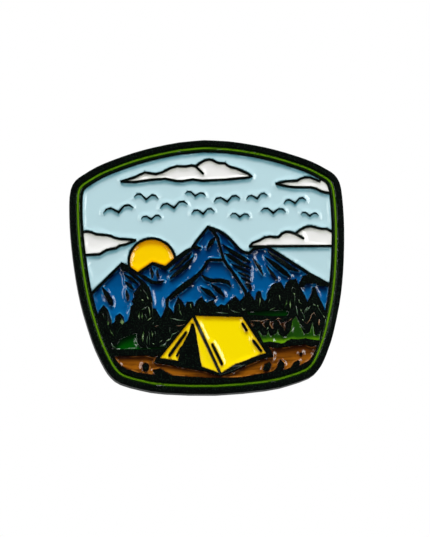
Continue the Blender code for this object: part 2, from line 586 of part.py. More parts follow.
def make_border():
    """The green ring between the outer rim and the frame line round the picture."""
    levels = (
        ("border_pocket", 0, FACE - OVERCUT, FLOOR, pockets),
        ("border_enamel", ENAMEL_GAP, ENAMEL_FACE, FLOOR - ENAMEL_GAP, parts),
    )
    for title, gap, front, back, collection in levels:
        ring = slab(title, [offset(OUTLINE, -RIM_WIDTH - gap)], front, back, collection)
        inside = offset(OUTLINE, -RIM_WIDTH - CHANNEL_WIDTH + gap)
        core = slab(title + "_core", [inside], front - OVERCUT, back + OVERCUT, cutters)
        boolean(ring, "DIFFERENCE", core)
    finish(bpy.data.objects["border_enamel"], BORDER_GREEN)


# ---------------------------------------------------------------- the back: plate, posts and clutches

SEAT_RADIUS = SOLDER_RADIUS + SEAT_CLEARANCE
POST_FOOT = -SEAT_DEPTH + ENAMEL_GAP
SIDES = (("left", -POST_SPACING / 2), ("right", POST_SPACING / 2))


def make_plate():
    plate = slab("base_plate", [OUTLINE], FACE, 0, parts)
    for side, x in SIDES:
        profile = [(0, OVERCUT), (SEAT_RADIUS, OVERCUT), (SEAT_RADIUS, -SEAT_DEPTH), (0, -SEAT_DEPTH)]
        seat = turned("seat_" + side, profile, 32, pockets)
        seat.location = (x, 0, POST_RISE)
    boolean(plate, "DIFFERENCE", pockets)
    finish(plate, BLACK_METAL)


def make_post(side, x):
    """A turned needle with a flat foot, a shallow groove for the clutch's jaws, and a blunt point."""
    r = POST_RADIUS
    neck = POST_LENGTH - POST_POINT
    groove = neck - 0.9 * MM
    profile = [
        (0, POST_LENGTH), (0.09 * MM, POST_LENGTH), (r, neck), (r, groove + 0.3 * MM),
        (r - GROOVE_DEPTH, groove + 0.1 * MM), (r - GROOVE_DEPTH, groove - 0.1 * MM), (r, groove - 0.3 * MM),
        (r, POST_FOOT), (0, POST_FOOT),
    ]
    post = turned("post_" + side, profile, 20, parts)
    post.location = (x, 0, POST_RISE)
    finish(post, STEEL)


def make_solder(side, x):
    """A fillet of solder that fills the seat round the post's foot and climbs a little up the post."""
    inner = POST_RADIUS + ENAMEL_GAP
    height = SOLDER_HEIGHT
    profile = [
        (inner, height), (inner + 0.12 * MM, height * 0.93), (inner + 0.3 * MM, height * 0.5),
        (inner + 0.55 * MM, height * 0.22), (SOLDER_RADIUS - 0.06 * MM, 0.03 * MM),
        (SOLDER_RADIUS, -0.05 * MM), (SOLDER_RADIUS, POST_FOOT), (inner, POST_FOOT),
    ]
    solder = turned("solder_" + side, profile, 20, parts)
    solder.location = (x, 0, POST_RISE)
    finish(solder, SOLDER)


def make_disc(side, axis):
    """The pressed disc: flat against the cloth, with a rim rolled up away from it."""
    hole = POST_RADIUS + POST_CLEARANCE
    r = DISC_RADIUS
    top = DISC_RIM_HEIGHT
    profile = [
        (hole, SHEET), (r - 0.95 * MM, SHEET), (r - 0.55 * MM, SHEET + 0.12 * MM),
        (r - SHEET, SHEET + 0.45 * MM), (r - SHEET, top - 0.1 * MM), (r - 0.16 * MM, top),
        (r, top - 0.1 * MM), (r, 0.55 * MM), (r - 0.2 * MM, 0.18 * MM), (r - 0.6 * MM, 0), (hole, 0),
    ]
    disc = turned("clutch_disc_" + side, profile, 32, parts)
    disc.parent = axis
    disc.location = (0, CLUTCH_STANDOFF, 0)
    finish(disc, BRASS)


CLIP_FLOOR = CLUTCH_STANDOFF + SHEET + CLIP_CLEARANCE
FOLD_Y = CLUTCH_STANDOFF + FOLD_HEIGHT


def make_clip(side, axis):
    """The flat middle of the spring strip, bent up at both ends into the webs that the wings turn on."""
    strip = bpy.data.meshes.new("clutch_clip_" + side)
    sheet = bmesh.new()
    bmesh.ops.create_grid(sheet, x_segments=5, y_segments=1, size=0.5)
    flat = CLIP_FLOOR + SHEET / 2
    side_rows = [
        (FOLD_REACH, FOLD_Y - SHEET / 2), (FOLD_REACH, flat + CLIP_BEND), (FOLD_REACH - CLIP_BEND, flat),
    ]
    rows = [*[(-x, y) for x, y in side_rows], *side_rows[::-1]]
    for vert in sheet.verts:
        x, y = rows[round((vert.co.x + 0.5) * 5)]
        vert.co = (x, y, vert.co.y * CLIP_WIDTH)
    bmesh.ops.recalc_face_normals(sheet, faces=sheet.faces)
    sheet.to_mesh(strip)
    sheet.free()
    clip = add_object(strip.name, strip, parts)
    clip.parent = axis
    wall = clip.modifiers.new("wall", "SOLIDIFY")
    wall.thickness = SHEET
    wall.offset = 0
    hole = POST_RADIUS + POST_CLEARANCE
    drill = turned("drill_" + side, [(0, OVERCUT + SHEET), (hole, OVERCUT + SHEET), (hole, -OVERCUT),
                                     (0, -OVERCUT)], 24, cutters)
    drill.parent = axis
    drill.location = (0, CLIP_FLOOR, 0)
    boolean(clip, "DIFFERENCE", drill)
    finish(clip, BRASS)


def make_wing(side, which, facing, axis):
    """A wing leaf and its jaw, one bent strip that turns on the fold; facing is the side it leans to."""
    fold = bpy.data.objects.new(f"fold_{side}_{which}", None)
    cutters.objects.link(fold)
    fold.parent = axis
    fold.location = (facing * FOLD_REACH, FOLD_Y, 0)
    lift = SHEET + FOLD_CLEARANCE
    slope = JAW_SLOPE
    jaw_reach = FOLD_REACH - POST_RADIUS - POST_CLEARANCE - SHEET / 2 * math.sin(slope)
    jaw_y = lift / math.cos(slope) - jaw_reach * math.tan(slope)
    along = Vector((math.cos(WING_LEAN), math.sin(WING_LEAN)))
    start = Vector((-lift * math.sin(slope), lift * math.cos(slope)))
    neck = start + along * 0.8 * MM
    middle = start + along * WING_LENGTH * 0.55
    broad = start + along * WING_LENGTH * 0.85
    curl = start + along * WING_LENGTH
    rows = [
        (-jaw_reach, jaw_y, JAW_WIDTH),
        (-jaw_reach * 0.6, jaw_y + jaw_reach * 0.4 * math.tan(slope), JAW_WIDTH),
        (start.x, start.y, CLIP_WIDTH),
        (neck.x, neck.y, CLIP_WIDTH),
        (middle.x, middle.y, WING_WIDTH * 0.88),
        (broad.x, broad.y, WING_WIDTH),
        (curl.x + 0.05 * MM, curl.y, WING_WIDTH * 0.98),
        (curl.x + 0.45 * MM, curl.y + 0.22 * MM, WING_WIDTH * 0.9),
        (curl.x + 0.9 * MM, curl.y + 0.1 * MM, WING_WIDTH * 0.78),
        (curl.x + 1.15 * MM, curl.y - 0.3 * MM, WING_WIDTH * 0.68),
    ]
    mesh = bpy.data.meshes.new(f"clutch_wing_{side}_{which}")
    sheet = bmesh.new()
    bmesh.ops.create_grid(sheet, x_segments=len(rows) - 1, y_segments=2, size=0.5)
    for vert in sheet.verts:
        x, y, width = rows[round((vert.co.x + 0.5) * (len(rows) - 1))]
        vert.co = (facing * x, y, vert.co.y * width)
    bmesh.ops.recalc_face_normals(sheet, faces=sheet.faces)
    sheet.to_mesh(mesh)
    sheet.free()
    wing = add_object(mesh.name, mesh, parts)
    wing.parent = fold
    wall = wing.modifiers.new("wall", "SOLIDIFY")
    wall.thickness = SHEET
    wall.offset = 0
    finish(wing, BRASS)


def make_clutch(side, x):
    axis = bpy.data.objects.new("clutch_axis_" + side, None)
    cutters.objects.link(axis)
    axis.location = (x, 0, POST_RISE)
    outward = -1 if x < 0 else 1
    make_disc(side, axis)
    make_clip(side, axis)
    make_wing(side, "outer", outward, axis)
    make_wing(side, "inner", -outward, axis)


make_border()
make_sky()
make_clouds_and_sun()
make_left_peak()
make_main_face()
make_foothill()
make_right_slope()
make_spur()
make_tent()
make_ground()
make_greenery()
make_brush()
make_pines()
make_plate()
for side, x in SIDES:
    make_post(side, x)
    make_solder(side, x)
    make_clutch(side, x)
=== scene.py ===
"""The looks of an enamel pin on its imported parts: a struck plate, poured enamel, posts and clutches."""

import math

import bmesh
import bpy
import numpy as np
from mathutils import Matrix, Vector
from mathutils.bvhtree import BVHTree


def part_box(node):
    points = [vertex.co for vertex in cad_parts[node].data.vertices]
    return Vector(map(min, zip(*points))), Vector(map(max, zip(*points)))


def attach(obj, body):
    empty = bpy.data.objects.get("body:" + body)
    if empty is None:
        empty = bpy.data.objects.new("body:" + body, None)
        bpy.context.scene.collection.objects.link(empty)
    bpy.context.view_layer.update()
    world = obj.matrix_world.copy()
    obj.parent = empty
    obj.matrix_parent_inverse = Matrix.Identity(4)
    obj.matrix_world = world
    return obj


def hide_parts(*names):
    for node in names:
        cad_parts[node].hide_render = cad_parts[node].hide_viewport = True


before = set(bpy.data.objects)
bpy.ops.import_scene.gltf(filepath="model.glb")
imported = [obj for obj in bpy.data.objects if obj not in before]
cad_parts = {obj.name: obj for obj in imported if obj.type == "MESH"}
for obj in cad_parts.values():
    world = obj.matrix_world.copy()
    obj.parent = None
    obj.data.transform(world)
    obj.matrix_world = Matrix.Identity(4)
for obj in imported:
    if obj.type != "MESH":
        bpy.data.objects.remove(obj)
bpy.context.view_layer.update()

# The plate is struck from iron in one blow, plated black and polished. Its rim is rounded over by tumbling,
# its back keeps the fine grain of the die, and the edge shows the faint drag marks of the trimming tool.
MM = 0.001
PLATE_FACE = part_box("base_plate")[0].y
POCKET_FLOOR = -1.0 * MM  # nothing of the picture is cut deeper than this
RIM_ROUND = 0.16 * MM  # how far the rim's outer corner is rounded over


class Wire:
    """One socket of a material's nodes. Arithmetic on wires adds the Math nodes that work it out."""

    def __init__(self, tree, socket=None):
        self.tree = tree
        self.socket = socket

    def node(self, kind, settings, sockets, output=0):
        """Adds any node: its settings first, then a value or a wire for each socket named or numbered."""
        made = self.tree.nodes.new("ShaderNode" + kind)
        for name, value in settings.items():
            setattr(made, name, value)
        for name, value in sockets.items():
            if isinstance(value, Wire):
                self.tree.links.new(value.socket, made.inputs[name])
            else:
                made.inputs[name].default_value = value
        return Wire(self.tree, made.outputs[output])

    def math(self, operation, first, second=0.0):
        return self.node("Math", {"operation": operation}, {0: first, 1: second})

    def __add__(self, other):
        return self.math("ADD", self, other)

    def __radd__(self, other):
        return self.math("ADD", other, self)

    def __sub__(self, other):
        return self.math("SUBTRACT", self, other)

    def __rsub__(self, other):
        return self.math("SUBTRACT", other, self)

    def __mul__(self, other):
        return self.math("MULTIPLY", self, other)

    def __rmul__(self, other):
        return self.math("MULTIPLY", other, self)

    def __truediv__(self, other):
        return self.math("DIVIDE", self, other)

    def __rtruediv__(self, other):
        return self.math("DIVIDE", other, self)

    def __pow__(self, other):
        return self.math("POWER", self, other)

    def ramp(self, low, high, at_low=0.0, at_high=1.0):
        """0 where this wire is low and 1 where it is high, or two other values, with a soft slope."""
        limits = {0: self, 1: low, 2: high, 3: at_low, 4: at_high}
        return self.node("MapRange", {"interpolation_type": "SMOOTHSTEP"}, limits)

    def colour(self, first, second):
        """The first colour where this wire is 0 and the second where it is 1."""
        colours = [value if isinstance(value, Wire) else (*value, 1) for value in (first, second)]
        return self.node("Mix", {"data_type": "RGBA"}, {0: self, 6: colours[0], 7: colours[1]}, 2)


def new_material(name, roughness, metallic=0.0, coat=0.0, coat_roughness=0.05):
    """A material and its shader, with what is the same all over set on the shader itself."""
    material = bpy.data.materials.new(name)
    material.use_nodes = True
    shader = material.node_tree.nodes["Principled BSDF"]
    shader.inputs["Roughness"].default_value = roughness
    shader.inputs["Metallic"].default_value = metallic
    shader.inputs["Coat Weight"].default_value = coat
    shader.inputs["Coat Roughness"].default_value = coat_roughness
    return material, shader


def place_of(wires):
    """The three coordinates of a spot on the pin, in metres, and all of them as one vector."""
    spot = wires.node("TexCoord", {}, {}, "Object")
    parts = wires.node("SeparateXYZ", {}, {0: spot})
    node = parts.socket.node
    return spot, [Wire(wires.tree, node.outputs[number]) for number in range(3)]


def speckle(wires, spot, scale, detail=2.0):
    """Cloudy noise from 0 to 1, with about this many clouds to a metre."""
    return wires.node("TexNoise", {}, {"Vector": spot, "Scale": scale, "Detail": detail}, "Fac")


def wire_up(material, shader, socket, wire):
    material.node_tree.links.new(wire.socket, shader.inputs[socket])


def copy_of(node, name):
    """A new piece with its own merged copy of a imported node's mesh."""
    bpy.ops.object.select_all(action="DESELECT")
    piece = bpy.data.objects.new(name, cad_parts[node].data.copy())
    bpy.context.collection.objects.link(piece)
    bpy.context.view_layer.objects.active = piece
    piece.select_set(True)
    piece.data.materials.clear()
    bpy.ops.object.mode_set(mode="EDIT")
    bpy.ops.mesh.select_all(action="SELECT")
    bpy.ops.mesh.remove_doubles(threshold=0.0005 * MM)
    bpy.ops.object.mode_set(mode="OBJECT")
    return piece


plate = copy_of("base_plate", "struck_plate")
bpy.ops.object.mode_set(mode="EDIT")
bpy.ops.mesh.select_all(action="SELECT")
bpy.ops.mesh.dissolve_limited(angle_limit=math.radians(0.5))
bpy.ops.mesh.select_all(action="DESELECT")
bpy.ops.mesh.select_mode(type="EDGE")
iron = bmesh.from_edit_mesh(plate.data)
for edge in iron.edges:
    level = len({round(vert.co.y / MM, 2) for vert in edge.verts}) == 1
    for face in edge.link_faces:
        depths = [vert.co.y for vert in face.verts]
        outer_wall = abs(face.normal.y) < 0.1 and face.calc_center_median().y > POCKET_FLOOR + 0.01 * MM
        if level and outer_wall and min(depths) < PLATE_FACE + 0.01 * MM and max(depths) > -0.01 * MM:
            edge.select_set(True)
bmesh.update_edit_mesh(plate.data)
bpy.ops.mesh.bevel(offset=RIM_ROUND, segments=3, clamp_overlap=False)
bpy.ops.object.mode_set(mode="OBJECT")
bpy.ops.object.shade_smooth_by_angle(angle=math.radians(32))
bpy.ops.object.modifier_add(type="WEIGHTED_NORMAL")
plate.modifiers[0].keep_sharp = True
bpy.ops.object.modifier_apply(modifier=plate.modifiers[0].name)

black, shader = new_material("black_plating", roughness=0.28, metallic=0.5)
shader.inputs["Specular IOR Level"].default_value = 0.12
wires = Wire(black.node_tree)
spot, (x, y, z) = place_of(wires)
back = y.ramp(-0.15 * MM, -0.02 * MM)
edge_wall = y.ramp(-1.66 * MM, -1.50 * MM)
grain = speckle(wires, spot, 4200, 3)
tone = speckle(wires, spot, 900)
drag = speckle(wires, spot, 2600, 4).ramp(0.45, 0.70)
pitted = speckle(wires, spot, 5200, 2).ramp(0.54, 0.68)
polished = pitted.colour(tone.colour((0.002, 0.003, 0.003), (0.004, 0.006, 0.005)), (0.010, 0.025, 0.013))
trimmed = edge_wall.colour(polished, drag.colour((0.008, 0.020, 0.016), (0.050, 0.075, 0.064)))
grey_back = tone.colour((0.030, 0.032, 0.034), (0.050, 0.052, 0.054))
wire_up(black, shader, "Base Color", back.colour(trimmed, grey_back))
wire_up(black, shader, "Roughness", 0.15 + 0.08 * tone + 0.22 * back + 0.12 * edge_wall)
bump = wires.node("Bump", {}, {"Strength": 0.25, "Distance": 0.02 * MM, "Height": grain * (0.1 + edge_wall)})
wire_up(black, shader, "Normal", bump)
plate.data.materials.append(black)
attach(plate, "pin")
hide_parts("base_plate")


# The border is soft enamel poured into the channel inside the rim and baked. It creeps up both walls as it
# sets, so it is a shallow trough, bright along the middle and dark near the metal with painted shade.
ENAMEL_LOW = -1.50 * MM  # the level of the middle of a wide cell
ENAMEL_CLIMB = 0.10 * MM  # how far the enamel creeps up at a wall
ENAMEL_CREEP = 0.50 * MM  # how far from the wall that is felt
CREEP_ROUNDS = 90  # enough for the creep to settle on the finest net
CREEP_FROM, CREEP_SPAN = 0.12, 0.68  # the part of the creep that shows as a slope
SHADE_REACH = 1.6 * MM  # how far down the picture the shade of a raised line is seen


def cut_net(piece, low, high, spacing):
    """Cuts the enamel's flat top into a net of squares, and leaves its sides and its underside whole."""
    bpy.ops.object.mode_set(mode="EDIT")
    bpy.ops.mesh.select_mode(type="FACE")
    bpy.ops.mesh.select_all(action="DESELECT")
    fill = bmesh.from_edit_mesh(piece.data)
    for face in fill.faces:
        face.select_set(face.normal.y > -0.9)
    bmesh.update_edit_mesh(piece.data)
    bpy.ops.mesh.hide()
    for axis in (0, 2):
        across = Vector((axis == 0, 0, axis == 2))
        count = math.ceil((high[axis] - low[axis]) / spacing)
        for step in range(1, count):
            bpy.ops.mesh.select_all(action="SELECT")
            bpy.ops.mesh.bisect(plane_co=low + (high - low) * step / count, plane_no=across)
    bpy.ops.mesh.reveal(select=False)
    bpy.ops.object.mode_set(mode="OBJECT")


def keep_distances(mesh, places, on_top):
    """Notes at each point of the top how far it is from metal, and how far straight below metal."""
    sides = [list(face.vertices) for face in mesh.polygons if abs(face.normal.y) < 0.5]
    metal_round = BVHTree.FromPolygons(places.tolist(), sides)
    away = np.zeros(len(places))
    below = np.zeros(len(places))
    for number in np.flatnonzero(on_top):
        place = Vector(places[number])
        away[number] = metal_round.find_nearest(place)[3]
        inside = place + Vector((0, 0.1 * MM, -0.01 * MM))
        for lean in (-0.35, 0.0, 0.35):
            distance = metal_round.ray_cast(inside, Vector((lean, 0, 1)).normalized(), SHADE_REACH)[3]
            below[number] += (SHADE_REACH if distance is None else distance) / 3
    for title, values in (("away", away / MM), ("below", below / MM)):
        layer = mesh.attributes.new(title, "FLOAT", "POINT")
        layer.data.foreach_set("value", values.astype(np.float32))


def creep(mesh, places, on_top):
    """How far up each point of the top is drawn, from 1 at a wall to 0 out in the middle."""
    at_wall = np.zeros(len(places), bool)
    for face in mesh.polygons:
        if face.normal.y > -0.9:
            at_wall[list(face.vertices)] = True
    ends = np.zeros(len(mesh.edges) * 2, int)
    mesh.edges.foreach_get("vertices", ends)
    ends = ends.reshape(-1, 2)
    first, second = ends[on_top[ends].all(1)].T
    length = np.linalg.norm(places[first] - places[second], axis=1).clip(0.02 * MM)
    pull = 1 / length**2
    total = np.bincount(first, pull, len(places)) + np.bincount(second, pull, len(places)) + ENAMEL_CREEP**-2
    climb = at_wall.astype(float)
    for _ in range(CREEP_ROUNDS):
        drawn = np.bincount(first, pull * climb[second], len(places))
        drawn += np.bincount(second, pull * climb[first], len(places))
        climb = np.where(at_wall, 1.0, drawn / total)
    swell = ((climb - CREEP_FROM) / CREEP_SPAN).clip(0, 1)
    return swell**2 * (3 - 2 * swell)


def pour(node, name, spacing, rise):
    """Enamel set in its cell, with a top that sinks away from the walls all round."""
    piece = copy_of(node, name)
    low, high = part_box(node)
    cut_net(piece, low, high, spacing)
    mesh = piece.data
    places = np.zeros(len(mesh.vertices) * 3)
    mesh.vertices.foreach_get("co", places)
    places = places.reshape(-1, 3)
    on_top = places[:, 1] < low.y + 0.01 * MM
    keep_distances(mesh, places, on_top)
    places[on_top, 1] = ENAMEL_LOW - rise * creep(mesh, places, on_top)[on_top]
    mesh.vertices.foreach_set("co", places.ravel())
    mesh.update()
    bpy.ops.object.shade_smooth_by_angle(angle=math.radians(50))
    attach(piece, "pin")
    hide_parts(node)
    return piece


def enamel(name, colour, wall_shade_and_streaks, painted_shade, upper=None, heights=(0, 1), beside=(0.5, 0.0),
           under=(1.1, 0.1), grain=(900, 900), streaks=0.0, painted_sheen=None):
    """Baked enamel. Painted shade deepens its colour near the metal, most of all under a raised line, and it
    may change with height up the picture from colour to upper. Streaks of the darker colour run as the brush
    did, and a painted highlight, a thin paler line, comes and goes where the enamel turns up to the metal."""
    material, shader = new_material(name, roughness=0.10, coat=0.2, coat_roughness=0.07)
    shader.inputs["Specular IOR Level"].default_value = 0.4
    wires = Wire(material.node_tree)
    spot, (x, y, z) = place_of(wires)
    away = wires.node("Attribute", {"attribute_name": "away"}, {}, "Fac")
    below = wires.node("Attribute", {"attribute_name": "below"}, {}, "Fac")
    cloudy = speckle(wires, spot, 700)
    tone = colour
    if upper:
        tone = (z + 0.6 * MM * (cloudy - 0.5)).ramp(heights[0] * MM, heights[1] * MM).colour(colour, upper)
    along = wires.node("CombineXYZ", {}, {0: x * grain[0], 1: y * 300, 2: z * grain[1]})
    streak = speckle(wires, along, 1.0, 3).ramp(0.42, 0.68)
    # Painted shade near the metal walls; the brush streaks share its darker colour.
    wall_shade = away.ramp(*beside)
    tone = (wall_shade + streaks * streak * (1.2 - wall_shade)).colour(tone, wall_shade_and_streaks)
    # Painted shade under a raised line above.
    tone = (below + 0.25 * (cloudy - 0.5)).ramp(*under).colour(tone, painted_shade)
    # A thin painted highlight where the enamel turns up towards the metal.
    if painted_sheen:
        sheen_breakup = speckle(wires, spot, 620, 1).ramp(0.42, 0.60) * (0.25 + 0.75 * below.ramp(0.1, 0.8))
        tone = (away.ramp(0.03, 0.13) * away.ramp(0.30, 0.16) * sheen_breakup).colour(tone, painted_sheen)
    wire_up(material, shader, "Base Color", tone)
    wire_up(material, shader, "Roughness", 0.06 + 0.08 * cloudy)
    ripple = speckle(wires, spot, 330, 1)
    bump = wires.node("Bump", {}, {"Strength": 0.25, "Distance": 0.03 * MM, "Height": ripple})
    wire_up(material, shader, "Normal", bump)
    return material


def fill_with(material, slot, spacing, *cells, rise=ENAMEL_CLIMB):
    """Pours one enamel into each of these cells, with a net of this spacing in millimetres."""
    for cell in cells:
        piece = pour(cell + "_enamel", cell + "_fill", spacing * MM, rise)
        piece.data.materials.append(material)


# The two dark greens are painted shade near the metal walls of the channel.
border_green = enamel("border_green", (0.115, 0.28, 0.004), (0.003, 0.020, 0.001), (0.001, 0.010, 0.001),
                      beside=(0.31, 0.14), under=(0.05, 0.0))
fill_with(border_green, "enamel_green_border", 0.11, "border", rise=0.04 * MM)


# The sky is one wide cell of pale blue round everything that stands up into it, with a second small cell
# under the right-hand cloud. The blue goes to a greyed teal where it is in the shade of a raised line.
# The two darker blues are painted shade, near the metal and under raised lines; the last colour is a painted
# highlight.
sky_blue = enamel("sky_blue", (0.50, 0.71, 0.76), (0.38, 0.60, 0.66), (0.13, 0.34, 0.40),
                  beside=(0.3, 0.0), under=(0.85, 0.15), painted_sheen=(0.56, 0.78, 0.82))
fill_with(sky_blue, "enamel_pale_blue", 0.20, "sky", "low_sky")


# The four clouds are white enamel, slightly warm and opaque. Each is run into its own small cell of the sky,
# and painted shade makes it a little grey-green under its upper edge and near the metal.
cloud_white = enamel("cloud_white", (0.88, 0.88, 0.86), (0.84, 0.85, 0.81), (0.74, 0.76, 0.69),
                     beside=(0.25, 0.0), under=(0.7, 0.1))
fill_with(cloud_white, "enamel_white", 0.16, "high_cloud", "corner_cloud", "left_cloud", "right_cloud")


# The sun is one round cell of thick yellow enamel, cut off below by the mountains. The yellow turns to
# orange towards the top, and in painted shade under the raised line over it.
sun_yellow = enamel("sun_yellow", (1.0, 0.63, 0.0), (0.80, 0.36, 0.0), (0.72, 0.30, 0.0),
                    (0.86, 0.40, 0.004), (2.2, 4.6))
fill_with(sun_yellow, "enamel_sun_yellow", 0.14, "sun")


# The mountains are five cells of one blue, brighter low down and darker towards the top, with navy painted
# shade under the ridges and near the raised strokes that stand for crevasses, and thin painted highlights.
mountain_blue = enamel("mountain_blue", (0.0, 0.100, 0.30), (0.0, 0.060, 0.20), (0.0, 0.005, 0.030),
                       (0.0, 0.045, 0.17), (-5.5, 3.0), beside=(0.3, 0.05), under=(1.5, 0.15),
                       grain=(700, 900), streaks=0.45, painted_sheen=(0.010, 0.18, 0.39))
fill_with(mountain_blue, "enamel_blue", 0.14, "left_peak", "main_face", "foothill", "right_slope", "spur")


# The tent is one bright yellow enamel in two cells, the roof and the front, parted by the raised line of the
# ridge and the doorway. It goes to ochre in the shade of the lines.
tent_yellow = enamel("tent_yellow", (1.0, 0.77, 0.0), (0.95, 0.66, 0.02), (0.66, 0.38, 0.0),
                     beside=(0.3, 0.0), under=(0.9, 0.1))
fill_with(tent_yellow, "enamel_tent_yellow", 0.16, "tent_roof", "tent_front")


# The ground is brown enamel run in round the tent, darker towards the top and in painted shade under the
# meadow's edge, with brush streaks and thin painted highlights where it turns up to the metal.
# The undergrowth behind the tent has four small cells of the same brown.
earth = enamel("earth_brown", (0.30, 0.095, 0.004), (0.07, 0.018, 0.001), (0.02, 0.004, 0.001),
               (0.13, 0.035, 0.002), (-13.8, -12.0), beside=(0.35, 0.0), under=(1.1, 0.2),
               grain=(260, 1900), streaks=0.7, painted_sheen=(0.36, 0.13, 0.015))
fill_with(earth, "enamel_brown", 0.14, "ground", *[f"brush_{number}" for number in range(1, 5)])


# The meadows are a dark green that painted shade under the pines makes nearly black along the top; the
# bushes are a fresh leaf green at the foot, darker towards their tips and in painted shade under the lines;
# and narrow glimpses of green show between the pines, darkened by painted shade near the metal.
meadow = enamel("meadow_green", (0.0, 0.062, 0.001), (0.0, 0.030, 0.001), (0.0, 0.010, 0.001),
                beside=(0.2, 0.0), under=(1.5, 0.3))
fill_with(meadow, "enamel_dark_green", 0.14, "meadow", "far_meadow")
leaf = enamel("leaf_green", (0.15, 0.37, 0.002), (0.05, 0.17, 0.003), (0.01, 0.05, 0.002),
              (0.010, 0.060, 0.003), (-11.2, -10.1), beside=(0.2, 0.0), under=(0.6, 0.1))
fill_with(leaf, "enamel_leaf_green", 0.14, "bushes")
pine = enamel("pine_green", (0.17, 0.28, 0.10), (0.06, 0.14, 0.03), (0.02, 0.06, 0.01), beside=(0.12, 0.0),
              under=(0.4, 0.0))
fill_with(pine, "enamel_pine_green", 0.08, *[f"pine_{number}" for number in range(1, 11)])


# Between the pines and in the undergrowth the plate is cut with scratches too fine to be cells. Enamel has
# caught in them here and there, in thin runs of pale green, dark green and brown that stand a hair proud.
DRAWN_WIDE = 39.0  # the runs are drawn in millimetres, on a plate of this width and height
DRAWN_TALL = 36.17
PLATE_LOW, PLATE_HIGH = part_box("base_plate")
WIDE_SCALE = (PLATE_HIGH.x - PLATE_LOW.x) / DRAWN_WIDE
TALL_SCALE = (PLATE_HIGH.z - PLATE_LOW.z) / DRAWN_TALL
RUN_PROUD = 0.05 * MM  # how far the middle of a run stands above the plate's face
RUN_DEEP = 0.02 * MM  # how far its edges lie below it


def caught_enamel(name, look, runs):
    """Thin runs of enamel along drawn lines, each highest along its middle and pointed at both ends."""
    bpy.ops.object.select_all(action="DESELECT")
    made = []
    for width, *points in runs:
        count = len(points)
        bpy.ops.mesh.primitive_grid_add(x_subdivisions=count - 1, y_subdivisions=2, size=1)
        run = bpy.context.object
        for vert in run.data.vertices:
            step = round((vert.co.x + 0.5) * (count - 1))
            before, after = points[max(step - 1, 0)], points[min(step + 1, count - 1)]
            along = Vector((after[0] - before[0], after[1] - before[1])).normalized()
            reach = vert.co.y * width * (0.3 if step in (0, count - 1) else 1.0)
            depth = PLATE_FACE + (RUN_DEEP if vert.co.y else -RUN_PROUD)
            vert.co = ((points[step][0] - along.y * reach) * WIDE_SCALE, depth,
                       (points[step][1] + along.x * reach) * TALL_SCALE)
        made.append(run)
    for run in made:
        run.select_set(True)
    bpy.ops.object.join()
    piece = bpy.context.object
    piece.name = name
    bpy.ops.object.modifier_add(type="SOLIDIFY")
    piece.modifiers[0].thickness = RUN_PROUD
    piece.modifiers[0].offset = -1
    bpy.ops.object.modifier_apply(modifier=piece.modifiers[0].name)
    bpy.ops.object.mode_set(mode="EDIT")
    bpy.ops.mesh.select_all(action="SELECT")
    bpy.ops.mesh.normals_make_consistent(inside=False)
    bpy.ops.object.mode_set(mode="OBJECT")
    bpy.ops.object.shade_smooth()
    piece.data.materials.append(look)
    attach(piece, "pin")


def caught_colour(name, dull, bright):
    """The enamel of the thin runs, which goes from dull to bright along its length."""
    material, shader = new_material(name, roughness=0.3, coat=0.3, coat_roughness=0.1)
    wires = Wire(material.node_tree)
    spot, _ = place_of(wires)
    wire_up(material, shader, "Base Color", speckle(wires, spot, 1900).ramp(0.35, 0.65).colour(dull, bright))
    wire_up(material, shader, "Roughness", 0.2 + 0.2 * speckle(wires, spot, 2500))
    return material


pale_runs = [
    (0.22, (-9.1, -4.05), (-8.98, -4.3), (-8.95, -4.5)),
    (0.26, (-9.9, -4.5), (-9.75, -4.56), (-9.6, -4.6)),
    (0.20, (-8.97, -5.5), (-8.82, -6.2), (-8.78, -6.85)),
    (0.20, (-9.2, -7.5), (-8.9, -7.25), (-8.6, -7.05)),
    (0.22, (-8.65, -10.65), (-8.48, -10.76), (-8.35, -10.85)),
    (0.16, (-7.65, -10.55), (-7.4, -10.4), (-7.2, -10.2)),
    (0.24, (-6.75, -10.45), (-6.4, -10.3), (-6.05, -10.05)),
    (0.2, (-4.62, -6.2), (-4.5, -6.5), (-4.3, -6.85)),
    (0.22, (-3.05, -5.3), (-3.0, -5.6), (-2.92, -5.9)),
    (0.22, (4.2, -6.1), (4.35, -6.42), (4.72, -6.2)), (0.14, (8.1, -6.55), (8.4, -6.38), (8.8, -6.2)),
    (0.2, (6.85, -4.7), (6.8, -5.3), (6.72, -5.8)), (0.24, (11.65, -4.15), (11.75, -4.3), (11.8, -4.5)),
    (0.24, (14.3, -5.85), (14.5, -5.95), (14.7, -6.0)),
    (0.22, (14.95, -5.95), (15.0, -6.15), (15.05, -6.35)),
    (0.24, (15.68, -7.55), (15.8, -7.7), (15.9, -7.8)),
    (0.2, (12.65, -7.9), (12.78, -8.05), (12.85, -8.2)),
    (0.2, (7.55, -9.25), (7.7, -9.05), (7.8, -8.9)), (0.14, (9.6, -4.4), (9.65, -4.8), (9.68, -5.2)),
    (0.16, (12.35, -5.1), (12.38, -5.5), (12.7, -5.75)),
]
